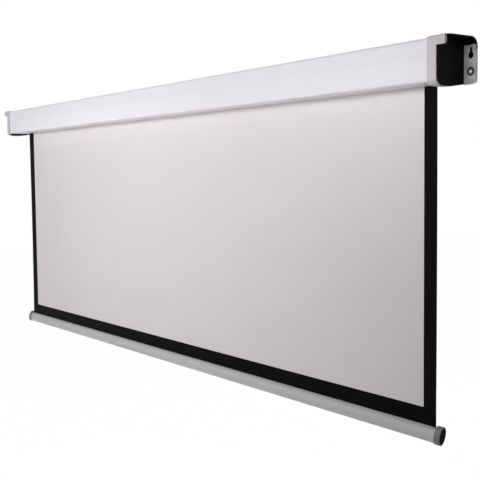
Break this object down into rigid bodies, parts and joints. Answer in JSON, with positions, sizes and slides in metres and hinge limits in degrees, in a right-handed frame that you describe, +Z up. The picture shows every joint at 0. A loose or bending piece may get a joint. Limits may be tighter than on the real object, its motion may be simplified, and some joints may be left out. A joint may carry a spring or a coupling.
{
  "type": "motorized projection screen",
  "caption": "Wall-hung motorized projection screen: an extruded case with end brackets, a motor roller and a white sheet in black borders, partly lowered on a weighted bottom bar.",
  "frame": {"origin": "on the housing's flat back, at the wall, midway along it and 40.5 mm above its underside", "axes": "+X along the screen, to the viewer's right; +Y into the wall; +Z up"},
  "size_m": [2.08, 0.079, 0.7532],
  "materials": {
    "white_paint": "satin white powder coat on aluminium",
    "white_plastic": "moulded off-white, fine satin grain",
    "black_plastic": "moulded black, semi-matt",
    "grey_plastic": "moulded grey",
    "black_steel": "black oxide",
    "zinc_steel": "zinc plated, satin",
    "bright_steel": "bright plated",
    "bar_aluminium": "satin anodised",
    "board": "green circuit board",
    "white_fabric": "matt white projection surface, faint weave",
    "black_fabric": "matt black coated border"
  },
  "bodies": {
    "root": {"housing": "white_paint", "end_trim_right": "white_plastic", "end_trim_left": "white_plastic", "end_plate_right": "black_plastic", "end_plate_left": "black_plastic", "end_screw_1_right": "black_steel", "end_screw_1_left": "black_steel", "end_screw_2_right": "black_steel", "end_screw_2_left": "black_steel", "end_screw_3_right": "black_steel", "end_screw_3_left": "black_steel", "end_screw_4_right": "black_steel", "end_screw_4_left": "black_steel", "hanger_right": "zinc_steel", "hanger_left": "zinc_steel", "level_bush_right": "black_steel", "level_bush_left": "black_steel", "level_screw_right": "bright_steel", "level_screw_left": "bright_steel", "cord_gland": "black_plastic", "idler_pin": "bright_steel", "idler_bracket": "zinc_steel", "motor_body": "bright_steel", "motor_head": "black_plastic", "motor_bracket": "zinc_steel", "motor_lead": "black_plastic", "receiver_box": "black_plastic", "receiver_lid": "black_plastic", "receiver_board": "board", "capacitor": "bar_aluminium", "terminal_block": "white_plastic"},
    "roller": {"roller_tube": "bar_aluminium", "fabric_winding": "white_fabric", "limit_crown": "black_plastic", "output_shaft": "bright_steel", "drive_wheel": "black_plastic", "idler_plug": "black_plastic", "idler_bearing": "bright_steel"},
    "bottom_bar": {"screen_fabric": "white_fabric", "border_right": "black_fabric", "border_left": "black_fabric", "border_bottom": "black_fabric", "bar_tube": "bar_aluminium", "hem_spline": "white_plastic", "ballast_rod": "bright_steel", "bar_cap_right": "grey_plastic", "bar_cap_left": "grey_plastic", "bar_plug_right": "black_plastic", "bar_plug_left": "black_plastic"},
    "limit_up": {"limit_screw_up": "white_plastic"},
    "limit_down": {"limit_screw_down": "white_plastic"}
  },
  "joints": [
    {"name": "screen_drop", "type": "slide", "parent": "root", "child": "bottom_bar", "axis": [0, 0, 1], "range_m": [-0.437, 0.636], "deforming": ["screen_fabric", "border_right", "border_left"]},
    {"name": "roller_turn", "type": "hinge", "parent": "root", "child": "roller", "pos_m": [0, -0.04165, 0.008], "axis": [1, 0, 0], "range_deg": [-1032, 1500]},
    {"name": "limit_up_turn", "type": "hinge", "parent": "root", "child": "limit_up", "pos_m": [-0.981, -0.04815, -0.008], "axis": [0, 0, 1], "range_deg": [-1080, 1080]},
    {"name": "limit_down_turn", "type": "hinge", "parent": "root", "child": "limit_down", "pos_m": [-0.981, -0.03515, -0.008], "axis": [0, 0, 1], "range_deg": [-1080, 1080]}
  ],
  "couplings": [
    {"joint": "roller_turn", "follows": "screen_drop", "rad_per_m": 41.068}
  ]
}
